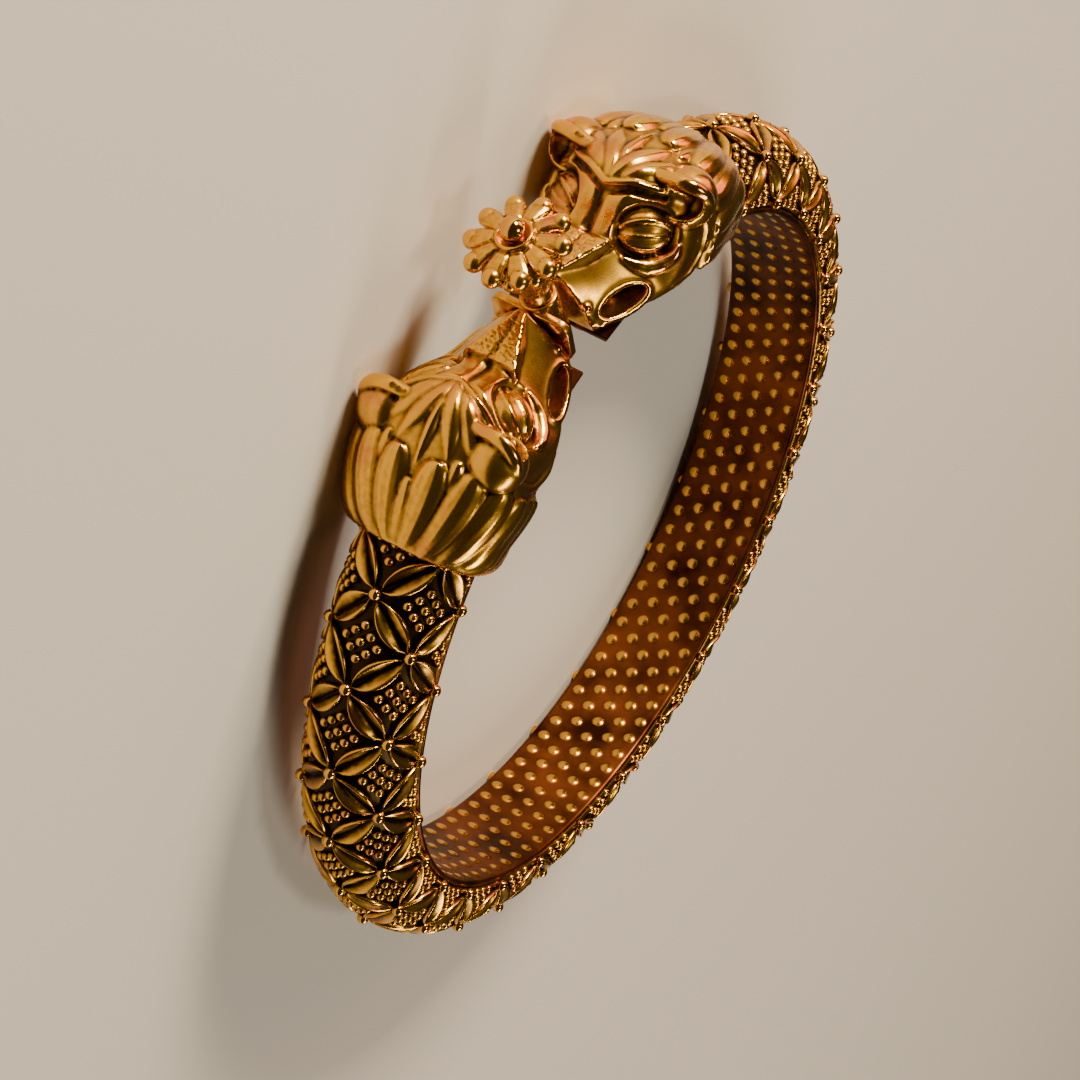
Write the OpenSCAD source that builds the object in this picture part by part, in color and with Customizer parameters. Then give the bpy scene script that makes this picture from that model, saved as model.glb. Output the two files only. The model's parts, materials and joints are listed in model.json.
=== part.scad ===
// Kada bangle: a rigid hoop whose two ends are lion heads, closed by a
// screw with a flower-shaped head. It lies on its side, as it rests.
// Distances along a head are angles from the plane where the muzzles meet.

/* [Hoop] */
// Radius of the wrist hole
inner_r = 30; // [27:0.5:33]
// Thickness of the sheet that lines the wrist hole
liner_t = 0.5; // [0.4:0.1:0.8]
// Width of the lining sheet
liner_w = 8.6; // [7:0.1:8.8]
// Radial radius of the hoop's rounded section
bulge_r = 4.6; // [4:0.1:5]
// Half of the hoop's width
bulge_z = 4.75; // [4.6:0.05:5]
// Distance from the wrist hole to the middle of the rounded section
bulge_at = 1.85; // [1.5:0.05:2.2]
// Gap between neighbouring pieces
gap = 0.1; // [0.05:0.05:0.2]

/* [Relief] */
// Number of leaf crosses round the hoop on its middle line
crosses = 22; // [18:1:26]
// Angle from the clasp to the first leaf cross
first_cross = 40.4; // [38:0.2:42]
// Angle round the section between two rows of crosses
row_angle = 50.5; // [46:0.5:52]
// How far the ground lies under the leaves
ground_h = 0.6; // [0.3:0.05:0.8]
// How far the vein lies under a leaf's crest
vein_h = 0.14; // [0.05:0.01:0.25]
// Distance of a leaf's crest from its vein, as a share of a row
crest_w = 0.12; // [0.08:0.01:0.15]
// Half width of a leaf, as a share of a row
leaf_w = 0.25; // [0.2:0.01:0.28]

/* [Heads] */
// Angle from the clasp to the tip of a muzzle
muzzle_at = 3; // [2.9:0.1:3.3]
// Radius of an eyeball
eye_r = 1.75; // [1.4:0.05:1.9]
// Radius of an ear's dome
ear_r = 2.5; // [2:0.1:2.8]
// Radius of the hollow in an ear
ear_hollow_r = 1.9; // [1.5:0.05:2.1]
// Angle by which the hollow lies in front of an ear's middle
ear_hollow_at = 3.4; // [3:0.1:4]
// Angle from the clasp to the middle of an ear
ear_at = 20.3; // [19:0.1:21]
// Distance of an ear's middle from the bangle's centre
ear_dist = 37.1; // [36.5:0.1:37.6]
// Distance of an ear's middle from the hoop's mid-plane
ear_z = 4.7; // [4.4:0.1:5]
// Height of the mane's locks
lock_h = 0.55; // [0.3:0.05:0.8]
// Radius of the hollow at the corner of the mouth
mouth_r = 0.85; // [0.7:0.05:0.95]
// Depth of its middle line
mouth_deep = 1; // [0.6:0.1:1.2]

/* [Clasp] */
// Radius of the clasp's barrel
barrel_r = 1.45; // [1.3:0.05:1.5]
// Radius of the screw's shank
shank_r = 0.75; // [0.6:0.05:0.9]
// Running clearance round the shank
shank_gap = 0.05; // [0.03:0.01:0.1]
// Length of the shank inside the barrel
pin_l = 4.6; // [3.8:0.1:4.7]
// Distance from the bangle's centre to the top of the barrel
barrel_top = 35.5; // [35:0.1:35.8]
// Angle that the screw leans to the lower side
screw_lean = 8.6; // [0:0.2:10]
// Thickness of the end plate on the left head's muzzle
plate_t = 0.65; // [0.5:0.05:0.7]
// Height of the end plate
plate_h = 4.6; // [4:0.1:4.7]
// Width of the end plate
plate_w = 6.8; // [6:0.1:7]

/* [Flower] */
// Number of petals
petals = 10; // [8:1:12]
// Radius of the flower
flower_r = 4.2; // [3.8:0.1:4.6]
// Depth of the notches between petals
notch = 0.8; // [0.4:0.1:1]
// Radius of the bead in the middle
bead_r = 0.95; // [0.8:0.05:1.1]
// Distance from the bangle's centre to the bead's centre
bead_at = 43.3; // [43:0.1:43.6]

/* [Hidden] */

gold = [0.80, 0.58, 0.20];
dark_gold = [0.45, 0.30, 0.12];
bright_gold = [0.92, 0.72, 0.32];

// Floor of everything that is seated on the lining sheet
seat_r = inner_r + liner_t + gap;
half_period = (180 - first_cross) / crosses;
band_from = first_cross - half_period;
steps = 2 * crosses + 2;
// The rows of the relief run from minus this one to plus this one
last_row = 2;
rim_z = 4.45;
// Distances inside one square of the relief, as shares of its side
corner_w = 0.42;

// Columns: angle from the clasp, distance of the top, half width, distance
// of the widest place, half width at the foot, squareness of the upper half,
// distance at which the forehead is flat
HEAD = [
    [ 3.0, 36.2, 3.3, 31.3, 3.2, 1.55, 36.2],
    [ 5.0, 36.2, 3.9, 31.3, 3.8, 1.60, 36.2],
    [ 8.0, 36.2, 4.6, 31.3, 4.5, 1.60, 36.2],
    [10.5, 37.0, 5.1, 31.2, 5.0, 1.65, 35.8],
    [12.0, 38.6, 5.5, 31.2, 5.4, 1.80, 36.6],
    [13.4, 39.7, 5.8, 31.3, 5.7, 1.85, 37.6],
    [14.8, 39.9, 6.1, 31.7, 5.9, 1.60, 38.5],
    [16.4, 39.9, 6.4, 32.4, 6.1, 1.30, 39.1],
    [18.0, 39.7, 6.6, 33.3, 6.2, 1.10, 39.7],
    [21.0, 39.5, 6.8, 34.0, 6.4, 0.95, 39.7],
    [25.0, 38.9, 6.9, 33.9, 6.5, 0.92, 39.7],
    [29.0, 38.0, 6.6, 33.6, 6.2, 0.90, 39.7],
    [32.0, 37.1, 6.0, 33.2, 5.6, 0.90, 39.7],
    [33.9, 36.4, 5.1, 32.8, 4.8, 0.90, 39.7],
];
TOP = 1;
WIDE = 2;
WIDE_AT = 3;
FOOT = 4;
SQUARE = 5;
FLAT = 6;
upper_steps = 8;
// Half width of the jaw between the foot and the widest place, as a share
jaw_share = 0.99;

// Columns: angle and side distance where a lock starts, the same where it
// ends, half width
LOCKS = [
    [14.9,  0.0, 24.0,  0.0, 0.55],
    [15.0,  0.5, 23.0,  2.0, 0.95],
    [15.6,  1.6, 21.5,  3.6, 0.70],
    [20.8,  1.1, 32.4,  0.9, 1.00],
    [20.5,  3.0, 32.8,  2.7, 1.05],
    [22.2,  4.9, 32.6,  4.3, 0.95],
    [23.2,  6.2, 31.8,  5.4, 0.85],
];
lock_steps = 5;
// Half width of a lock at its two points
lock_point = 0.08;

// These are ridges on one side of the face, laid on its surface. Columns:
// angle from the clasp, distance from the centre, radius
EYE_BAG = [[11.2, 34.5, 0.3], [12.8, 33.4, 0.6], [14.4, 33.4, 0.6], [16.3, 34.4, 0.3]];
CHEEK_EDGE = [[20.3, 37.2, 0.3], [21.7, 34.2, 0.4], [21.0, 32.6, 0.4], [18.4, 31.6, 0.35],
              [15.2, 31.2, 0.25]];
hairline_r = 0.4;
hairline_reach = 3.8;
// These are balls on one side of the face. Columns: angle from the clasp,
// distance from the centre, side distance, radius
LIP_BUMPS = [[3.9, 31.4, 3.1, 0.45], [4.7, 31.3, 3.6, 0.45], [3.8, 33.0, 2.7, 0.4]];
EYE = [15.4, 35.05, 2.95, eye_r];
// This ball only hollows the face round the eye
ORBIT = [11.9, 36.9, 5.1, 3.5];
// The two ends of the hollow at the corner of the mouth
MOUTH = [[5.9, 32.05, 4.1], [10.1, 32.05, 5.0]];
// The flat triangle of the nose: its tip and the corners of its base
NOSE = [[3.2, 35.95, 0], [10.3, 35.85, 1.9], [10.3, 35.85, -1.9]];
nose_edge_r = 0.35;
ear_facets = 20;

// A point by its angle from the clasp, distance from the centre and height
function at(angle, dist, z) = [dist * sin(angle), -dist * cos(angle), z];

// One column of the head's table at an angle
function head_size(angle, column) = lookup(angle, [for (row = HEAD) [row[0], row[column]]]);

// Distance of the head's upper surface at an angle and a side distance
function head_top(angle, z) =
    let (wide = head_size(angle, WIDE), wide_at = head_size(angle, WIDE_AT),
         square = head_size(angle, SQUARE),
         turn = acos(pow(min(abs(z) / wide, 0.999), 1 / square)))
    min(wide_at + (head_size(angle, TOP) - wide_at) * pow(sin(turn), square),
        head_size(angle, FLAT));

// Side distance of the head's surface at an angle and a distance
function head_wide(angle, dist) =
    let (wide = head_size(angle, WIDE), wide_at = head_size(angle, WIDE_AT),
         square = head_size(angle, SQUARE),
         rise = (dist - wide_at) / (head_size(angle, TOP) - wide_at))
    rise <= 0 ? wide : wide * pow(sqrt(1 - pow(rise, 2 / square)), square);

// The hairline is a V with its point on the middle of the forehead
function hairline(z) = 14.8 + 0.35 * z + 0.115 * z * z;

// One half of the head's outline, from the foot up to the top
function head_side(row) = concat(
    [[row[FOOT], seat_r], [row[WIDE] * jaw_share, (seat_r + row[WIDE_AT]) / 2]],
    [for (i = [0 : upper_steps])
        let (turn = 90 * i / upper_steps)
        [row[WIDE] * pow(cos(turn), row[SQUARE]),
         min(row[WIDE_AT] + (row[TOP] - row[WIDE_AT]) * pow(sin(turn), row[SQUARE]),
             row[FLAT])]]);

function mirrored(side) = [for (i = [len(side) - 2 : -1 : 0]) [-side[i][0], side[i][1]]];

function ring_faces(rings, sides) = concat(
    [for (r = [0 : rings - 2], s = [0 : sides - 1])
        let (next = (s + 1) % sides)
        [r * sides + s, r * sides + next, (r + 1) * sides + next, (r + 1) * sides + s]],
    [[for (s = [sides - 1 : -1 : 0]) s]],
    [[for (s = [0 : sides - 1]) (rings - 1) * sides + s]]);

function backwards(list) = [for (i = [len(list) - 1 : -1 : 0]) list[i]];

module head_form() {
    outlines = [for (row = HEAD) let (side = head_side(row)) concat(side, mirrored(side))];
    sides = len(outlines[0]);
    points = [for (i = [0 : len(HEAD) - 1], p = outlines[i])
        at(i == 0 ? muzzle_at : HEAD[i][0], p[1], p[0])];
    polyhedron(points, [for (f = ring_faces(len(HEAD), sides)) backwards(f)]);
}

// A leaf-shaped lock laid on the head, with a ridge along its middle
module lock(row) {
    stations = [for (i = [0 : lock_steps])
        let (t = i / lock_steps, swell = pow(sin(180 * pow(0.06 + 0.92 * t, 0.75)), 0.7),
             angle = row[0] + (row[2] - row[0]) * t, z = row[1] + (row[3] - row[1]) * t,
             half = max(row[4] * swell, lock_point))
        [at(angle, head_top(angle, z - half) - lock_h / 2, z - half),
         at(angle, head_top(angle, z) + lock_h * swell, z),
         at(angle, head_top(angle, z + half) - lock_h / 2, z + half),
         at(angle, head_top(angle, z) - 2 * lock_h, z)]];
    polyhedron([for (s = stations, p = s) p], ring_faces(lock_steps + 1, 4));
}

module ball(place, facets) {
    translate(at(place[0], place[1], place[2])) sphere(r = place[3], $fn = facets);
}

// A rounded ridge through a row of balls
module ridge(places) {
    for (i = [0 : len(places) - 2])
        hull() {
            ball(places[i], 8);
            ball(places[i + 1], 8);
        }
}

module ear() {
    difference() {
        ball([ear_at, ear_dist, ear_z, ear_r], ear_facets);
        ball([ear_at - ear_hollow_at, ear_dist + 0.5, ear_z + 0.2, ear_hollow_r], 16);
    }
}

// A ridge whose rows lie on the side of the head
module side_ridge(rows) {
    ridge([for (row = rows) [row[0], row[1], head_wide(row[0], row[1]), row[2]]]);
}

module face_side() {
    ball(EYE, 20);
    side_ridge(EYE_BAG);
    side_ridge(CHEEK_EDGE);
    ridge([for (i = [0 : 3])
        let (z = hairline_reach * i / 3, angle = hairline(z))
        [angle, head_top(angle, z), z, hairline_r]]);
    for (bump = LIP_BUMPS) ball(bump, 10);
    ear();
    for (row = LOCKS) lock(row);
}

module nose_plate() {
    hull()
        for (corner = NOSE) ball([corner[0], corner[1], corner[2], nose_edge_r], 12);
}

// The hollow at the corner of the mouth
module mouth() {
    hull()
        for (place = MOUTH, deep = [0, mouth_deep])
            ball([place[0], place[1], place[2] - deep, mouth_r], 16);
}

module lion_head() {
    difference() {
        union() {
            difference() {
                head_form();
                ball(ORBIT, 24);
                mirror([0, 0, 1]) ball(ORBIT, 24);
            }
            nose_plate();
            face_side();
            mirror([0, 0, 1]) face_side();
        }
        mouth();
        mirror([0, 0, 1]) mouth();
    }
}

// Rounded to one thousandth, so that neighbouring squares share their points
function tidy(x) = round(x * 1000) / 1000;

// A point of the hoop's section, by its place in the relief and its height
function relief(u, v, height) =
    let (turn = tidy(v) * row_angle, normal = [cos(turn) / bulge_r, sin(turn) / bulge_z],
         out = height * normal / norm(normal))
    at(band_from + tidy(u) * half_period,
       inner_r + bulge_at + bulge_r * cos(turn) + out[0], bulge_z * sin(turn) + out[1]);

// One side of a leaf and of the ground beside it: the leaf runs from the
// corner a to the corner b, and c is the corner on this side
function half_square(a, b, c) =
    let (m = (a + b) / 2, to_c = c - m,
         vein = relief(m[0], m[1], -vein_h),
         crest = relief(m[0] + to_c[0] * 2 * crest_w, m[1] + to_c[1] * 2 * crest_w, 0),
         foot = relief(m[0] + to_c[0] * 2 * leaf_w, m[1] + to_c[1] * 2 * leaf_w, -ground_h),
         knot_a = relief(a[0], a[1], 0), knot_b = relief(b[0], b[1], 0),
         near_a = relief(a[0] + (c[0] - a[0]) * corner_w, a[1] + (c[1] - a[1]) * corner_w,
                         -ground_h),
         near_b = relief(b[0] + (c[0] - b[0]) * corner_w, b[1] + (c[1] - b[1]) * corner_w,
                         -ground_h),
         centre = relief(c[0], c[1], -ground_h))
    [[knot_a, vein, crest], [vein, knot_b, crest], [knot_a, crest, foot],
     [crest, knot_b, foot], [knot_a, foot, near_a], [foot, knot_b, near_b],
     [near_a, foot, centre], [foot, near_b, centre]];

function flipped(faces) = [for (f = faces) [f[0], f[2], f[1]]];

function square_faces(u, v) =
    let (even = (u + v) % 2 == 0,
         a = even ? [u + 1, v] : [u, v], b = even ? [u, v + 1] : [u + 1, v + 1],
         c = even ? [u, v] : [u + 1, v], d = even ? [u + 1, v + 1] : [u, v + 1])
    even ? concat(half_square(a, b, d), flipped(half_square(a, b, c)))
         : concat(flipped(half_square(a, b, d)), half_square(a, b, c));

// A corner of the relief is a knot where leaves cross, or open ground
function is_knot(u, v) = abs(u + v) % 2 == 1;

function corner(u, v) = relief(u, v, is_knot(u, v) ? 0 : -ground_h);

// The point between two neighbouring corners, on the ground by the knot
function between(u0, v0, u1, v1) =
    let (knot = is_knot(u0, v0) ? [u0, v0] : [u1, v1], open = is_knot(u0, v0) ? [u1, v1] : [u0, v0])
    relief(knot[0] + (open[0] - knot[0]) * corner_w, knot[1] + (open[1] - knot[1]) * corner_w,
           -ground_h);

function rim_line(v) = [for (u = [0 : steps], k = [0, 1])
    if (k == 0 || u < steps) k == 0 ? corner(u, v) : between(u, v, u + 1, v)];

function angle_of(p) = atan2(p[0], -p[1]);

function seat_line(line, side) = [for (p = line) at(angle_of(p), seat_r, side * rim_z)];

function strip(low, high) = [for (i = [0 : len(low) - 2], k = [0, 1])
    k == 0 ? [low[i], low[i + 1], high[i]] : [low[i + 1], high[i + 1], high[i]]];

function end_face(u) = concat(
    [for (v = [-last_row : last_row], k = [0, 1])
        if (k == 0 || v < last_row) k == 0 ? corner(u, v) : between(u, v, u, v + 1)],
    [at(band_from + u * half_period, seat_r, rim_z),
     at(band_from + u * half_period, seat_r, -rim_z)]);

module band() {
    low = rim_line(-last_row);
    high = rim_line(last_row);
    low_seat = seat_line(low, -1);
    high_seat = seat_line(high, 1);
    faces = concat(
        [for (u = [0 : steps - 1], v = [-last_row : last_row - 1], f = square_faces(u, v)) f],
        strip(low, low_seat), flipped(strip(high, high_seat)), strip(low_seat, high_seat),
        [backwards(end_face(0))], [end_face(steps)]);
    starts = [for (i = 0, n = 0; i < len(faces); n = n + len(faces[i]), i = i + 1) n];
    color(gold)
        polyhedron([for (f = faces, p = f) p],
                   [for (i = [0 : len(faces) - 1]) [for (k = [0 : len(faces[i]) - 1]) starts[i] + k]]);
}

module inner_liner() {
    color(dark_gold)
        rotate([0, 0, muzzle_at - 90])
            rotate_extrude(angle = 360 - 2 * muzzle_at, $fn = 180)
                translate([inner_r, -liner_w / 2]) square([liner_t, liner_w]);
}

module head_left() {
    color(gold) lion_head();
}

module head_right() {
    color(gold) mirror([1, 0, 0]) lion_head();
}

// Turns the Z axis into the screw's axis, and starts it at the barrel's top
module along_screw() {
    translate([0, -barrel_top, 0]) rotate([90 + screw_lean, 0, 0]) children();
}

module clasp_lug() {
    barrel_l = barrel_top - seat_r;
    color(gold)
        difference() {
            union() {
                along_screw() translate([0, 0, -barrel_l]) cylinder(h = barrel_l, r = barrel_r, $fn = 48);
                translate([barrel_r - plate_t, -seat_r - plate_h, -plate_w / 2])
                    cube([plate_t, plate_h, plate_w]);
            }
            along_screw() translate([0, 0, -2 * barrel_l])
                cylinder(h = 3 * barrel_l, r = shank_r + shank_gap, $fn = 48);
            cylinder(h = 3 * bulge_z, r = seat_r - gap / 2, center = true, $fn = 180);
        }
}

module screw_pin() {
    color(bright_gold)
        along_screw() translate([0, 0, -pin_l]) cylinder(h = pin_l + gap / 2, r = shank_r, $fn = 48);
}

// Columns: radius, distance from the bangle's centre, depth of the notches
// as a share of the rim's
FLOWER = [
    [1.25, barrel_top + 0.15, 0],
    [1.25, 36.6, 0],
    [2.30, 39.4, 0.1],
    [2.75, 40.4, 0.3],
    [flower_r - 0.8, 41.0, 0.8],
    [flower_r - 0.2, 41.3, 1],
    [flower_r, 41.8, 1],
    [flower_r - 0.5, 42.2, 0.8],
    [1.65, 42.6, 0],
    [1.65, 43.0, 0],
    [1.20, 43.0, 0],
    [1.00, bead_at - bead_r - 0.1, 0],
];
petal_steps = 5;

module flower() {
    sides = petals * petal_steps;
    points = [for (row = FLOWER, s = [0 : sides - 1])
        let (turn = 360 * s / sides, dip = notch * row[2] * (1 - abs(cos(petals * turn / 2))),
             r = row[0] - dip)
        [r * cos(turn), r * sin(turn), row[1] - barrel_top]];
    color(bright_gold)
        along_screw() polyhedron(points, [for (f = ring_faces(len(FLOWER), sides)) backwards(f)]);
}

module flower_bead() {
    color(bright_gold)
        along_screw() translate([0, 0, bead_at - barrel_top]) sphere(r = bead_r, $fn = 32);
}

// The heads are wider than the hoop, so the bangle rests on the lower ears
// and on the crests at the back of the hoop, and leans by this angle
ear_low = ear_z + ear_r * cos(180 / ear_facets);
ear_y = ear_dist * cos(ear_at) - ear_r * sin(180 / ear_facets);
back_turn = (last_row - 0.5 + crest_w) * row_angle;
back_low = bulge_z * sin(back_turn);
back_y = inner_r + bulge_at + bulge_r * cos(back_turn);
rest_lean = atan((ear_low - back_low) / (ear_y + back_y));
rest_height = ear_low * cos(rest_lean) - ear_y * sin(rest_lean);
// Brings the middle of the bangle's length to the origin
rest_shift = (bead_at + bead_r - inner_r - bulge_at - bulge_r) / 2;

module resting() {
    translate([0, rest_shift, rest_height]) rotate([-rest_lean, 0, 0]) children();
}

resting() band();
resting() inner_liner();
resting() head_left();
resting() head_right();
resting() clasp_lug();
resting() screw_pin();
resting() flower();
resting() flower_bead();
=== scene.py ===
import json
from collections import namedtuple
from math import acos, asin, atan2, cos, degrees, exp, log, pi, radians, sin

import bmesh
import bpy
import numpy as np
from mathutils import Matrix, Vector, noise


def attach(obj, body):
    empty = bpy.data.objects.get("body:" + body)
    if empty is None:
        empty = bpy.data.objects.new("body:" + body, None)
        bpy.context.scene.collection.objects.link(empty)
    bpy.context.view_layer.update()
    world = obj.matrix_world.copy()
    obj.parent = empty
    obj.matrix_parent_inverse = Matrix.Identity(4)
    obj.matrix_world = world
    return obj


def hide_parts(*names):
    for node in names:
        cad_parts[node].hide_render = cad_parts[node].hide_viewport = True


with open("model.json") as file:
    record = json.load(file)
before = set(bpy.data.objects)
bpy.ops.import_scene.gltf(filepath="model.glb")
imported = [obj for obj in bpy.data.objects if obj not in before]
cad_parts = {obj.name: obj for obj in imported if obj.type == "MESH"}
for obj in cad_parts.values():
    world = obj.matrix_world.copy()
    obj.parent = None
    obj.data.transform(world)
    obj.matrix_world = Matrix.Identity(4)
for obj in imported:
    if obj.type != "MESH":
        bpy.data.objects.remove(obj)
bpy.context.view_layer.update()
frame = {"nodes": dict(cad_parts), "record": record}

# %% [markdown]
# This lesson dresses a kada, a rigid bangle of folk jewellery. The real one is
# cast in brass in the lost-wax way, plated with gold and darkened in its
# hollows. Its hoop carries a lattice of leaves, and its two ends are lion heads
# that a small screw with a flower for a head holds together.
#
# The construction is already loaded: eight solids at their real size. Each one
# that shows is now built again with the soft edges and fine relief of a casting.

print("solids loaded:", sorted(frame["nodes"]))

# %% [markdown]
# A goldsmith measures from the middle of the wrist hole, in millimetres. So
# every piece is drawn there first: X and Y lie in the plane of the hoop, Z is
# across its width, and the clasp is towards -Y. The bangle lies on its side and
# leans a little, because the heads are wider than the hoop. The record's mount
# in the wrist hole says where that middle is and which way the hoop's axis
# points, so one matrix lays each finished piece where its solid lies.

# %% From the maker's place to the library's frame
MM = 0.001
wrist_hole = frame["record"]["mounts"][0]
hole_axis = Vector(wrist_hole["axis"])
lean = atan2(hole_axis.y, hole_axis.z)
TO_FRAME = (Matrix.Translation(wrist_hole["pos_m"])
            @ Matrix.Rotation(-lean, 4, "X") @ Matrix.Scale(MM, 4))
print("the bangle leans by", round(degrees(lean), 2), "degrees")


# %% [markdown]
# A place on the hoop or on a head is easiest to say as an angle from the clasp,
# a distance from the middle of the wrist hole, and a distance to the side.

# %% A place by its angle from the clasp
def at(angle, distance, side):
    turn = radians(angle)
    return Vector((distance * sin(turn), -distance * cos(turn), side))


def place_of(point):
    """The angle, distance and side of a point."""
    return degrees(atan2(point.x, -point.y)), point.xy.length, point.z


# %% [markdown]
# The camera comes early, because it decides which details are worth making.
# The photo is taken from outside the clasp, a little above the plane of the
# hoop and from its left, with the camera rolled on its side. A long lens is
# used from nearly 30 cm away, so the hoop's far side is only a little smaller.

# %% The camera
def add_object(name, data):
    thing = bpy.data.objects.new(name, data)
    bpy.context.scene.collection.objects.link(thing)
    return thing


SENSOR = 36.0
CAMERA_AZIMUTH = radians(22.83)
CAMERA_ELEVATION = radians(19.416)
CAMERA_ROLL = radians(116.883)
CAMERA_DISTANCE = 277.1
LENS = 112.64
CLIP_START_M = 0.01
# How far the middle of the view lies beside the middle of the hoop
AIM_RIGHT = -0.01343
AIM_UP = -0.0027

back = Vector((sin(CAMERA_AZIMUTH) * cos(CAMERA_ELEVATION),
               -cos(CAMERA_AZIMUTH) * cos(CAMERA_ELEVATION), sin(CAMERA_ELEVATION)))
level_right = Vector((cos(CAMERA_AZIMUTH), sin(CAMERA_AZIMUTH), 0))
level_up = back.cross(level_right)
right = level_right * cos(CAMERA_ROLL) + level_up * sin(CAMERA_ROLL)
up = level_up * cos(CAMERA_ROLL) - level_right * sin(CAMERA_ROLL)
aimed_back = (back - right * AIM_RIGHT - up * AIM_UP).normalized()
aimed_right = up.cross(aimed_back).normalized()
leaning = TO_FRAME.to_3x3().normalized()
axes = [leaning @ aimed_right, leaning @ aimed_back.cross(aimed_right), leaning @ aimed_back]
camera_place = Matrix([list(row) for row in zip(*axes)]).to_4x4()
camera_place.translation = TO_FRAME @ (back * CAMERA_DISTANCE)

camera_data = bpy.data.cameras.new("photo_view")
camera_data.lens = LENS
camera_data.sensor_width = SENSOR
camera_data.clip_start = CLIP_START_M
camera = add_object("photo_view", camera_data)
camera.matrix_world = camera_place
bpy.context.scene.camera = camera
print("camera at", [round(c, 3) for c in camera.matrix_world.translation])


# %% [markdown]
# Colours are written the way a colour picker shows them, as sRGB hex values. A
# shader wants linear values, so one function converts them. One more small
# function adds a node, sets its values and joins its inputs.

# %% Colours and nodes
def colour(hex_value):
    channels = [int(hex_value[i:i + 2], 16) / 255 for i in (1, 3, 5)]
    return tuple(c / 12.92 if c <= 0.04045 else ((c + 0.055) / 1.055) ** 2.4
                 for c in channels) + (1.0,)


def grey(value):
    return (value, value, value, 1.0)


def add_node(tree, kind, settings=(), inputs=(), stops=()):
    """Adds a node. An input is a value or another node's output; stops are a ramp's."""
    node = tree.nodes.new(kind)
    for name, value in dict(settings).items():
        setattr(node, name, value)
    for key, value in dict(inputs).items():
        if isinstance(value, bpy.types.NodeSocket):
            tree.links.new(value, node.inputs[key])
        else:
            node.inputs[key].default_value = value
    for i, (position, value) in enumerate(stops):
        node.color_ramp.elements[i].position = position
        node.color_ramp.elements[i].color = value
    return node


print("a middle grey in linear light:", round(colour("#808080")[0], 3))

# %% [markdown]
# Gold-plated cast brass: polishing wheels brighten every high place, while dark
# oxide stays in the hollows. That contrast is what makes the relief readable.
# Each cast piece carries an attribute called recess, 0 on its high places and 1
# in its hollows, which mixes the two. Patches a few millimetres wide shade from
# yellow into a rosier, coppery gold: a painted reflection of rosy light.

# %% Gold-plated cast brass with dark hollows
GOLD = "#F2B43A"
# The rosy gold is a painted reflection of rosy light, laid into the base colour in patches
ROSE_SHEEN_PAINTED = "#E2924A"
OXIDE = "#33250A"
# Size and detail of the painted rosy reflection's patches, the polishing marks and the casting's
# skin
ROSE_SHEEN_PATCHES = (3.0, 2.0)
POLISH_MARKS = (0.5, 4.0)
CASTING_SKIN = (0.16, 3.0)
SKIN_HEIGHT_MM = 0.02
YELLOW_TO, ROSE_SHEEN_FROM = 0.50, 0.72
MARKS_IN_DIRT = 0.35
DIRT_FROM, DIRT_FULL = 0.40, 0.87
POLISHED, OXIDISED = (0.1, 0.10), (0.9, 0.42)


def per_metre(size_mm):
    return 1 / (size_mm * MM)


def metal(name):
    """A metal with its shader, the place on a piece and the recess there."""
    material = bpy.data.materials.new(name)
    material.use_nodes = True
    tree = material.node_tree
    shader = tree.nodes["Principled BSDF"]
    shader.inputs["Metallic"].default_value = 1.0
    place = add_node(tree, "ShaderNodeTexCoord").outputs["Object"]
    recess = add_node(tree, "ShaderNodeAttribute", {"attribute_name": "recess"}).outputs["Fac"]
    return material, tree, shader, place, recess


def cast_gold(name, grain):
    material, tree, shader, place, recess = metal(name)
    rose_sheen_patches, marks, casting_skin = [
        add_node(tree, "ShaderNodeTexNoise", inputs={
            "Vector": place, "Scale": per_metre(size), "Detail": detail}).outputs["Fac"]
        for size, detail in (ROSE_SHEEN_PATCHES, POLISH_MARKS, CASTING_SKIN)]
    # The ramp's rosy end paints a reflection of rosy light into the plating's yellow
    plating_and_rose_sheen = add_node(tree, "ShaderNodeValToRGB", inputs={"Fac": rose_sheen_patches},
                       stops=[(YELLOW_TO, colour(GOLD)), (ROSE_SHEEN_FROM, colour(ROSE_SHEEN_PAINTED))])
    dirt = add_node(tree, "ShaderNodeMath", {"operation": "MULTIPLY_ADD"},
                    {0: marks, 1: MARKS_IN_DIRT, 2: recess}).outputs["Value"]
    hollow = add_node(tree, "ShaderNodeValToRGB", inputs={"Fac": dirt},
                      stops=[(DIRT_FROM, grey(0)), (DIRT_FULL, grey(1))])
    mixed = add_node(tree, "ShaderNodeMix", {"data_type": "RGBA"},
                     {0: hollow.outputs["Color"], 6: plating_and_rose_sheen.outputs["Color"],
                      7: colour(OXIDE)})
    rough = add_node(tree, "ShaderNodeValToRGB", inputs={"Fac": dirt},
                     stops=[(share, grey(value)) for share, value in (POLISHED, OXIDISED)])
    bump = add_node(tree, "ShaderNodeBump", inputs={
        "Height": casting_skin, "Strength": grain, "Distance": SKIN_HEIGHT_MM * MM})
    tree.links.new(mixed.outputs[2], shader.inputs["Base Color"])
    tree.links.new(rough.outputs["Color"], shader.inputs["Roughness"])
    tree.links.new(bump.outputs["Normal"], shader.inputs["Normal"])
    return material


head_gold = cast_gold("polished gold-plated casting", grain=0.12)
hoop_gold = cast_gold("gold-plated casting with oxidised ground", grain=0.2)
print("made", head_gold.name, "and", hoop_gold.name)


# %% [markdown]
# Most forms on a casting are strips of wax laid on a core: locks of hair, lips,
# lids and leaves. Each is one closed outline that is carried along a path while
# it grows and shrinks. A grid holds the right number of faces for that: its
# rows become the outlines, its two sides meet in a seam that is merged, and the
# holes at both ends are filled.

# %% A closed form from rings of points
SAME_PLACE_MM = 0.0001


def faces_of(verts):
    return list({f for v in verts for f in v.link_faces})


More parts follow.
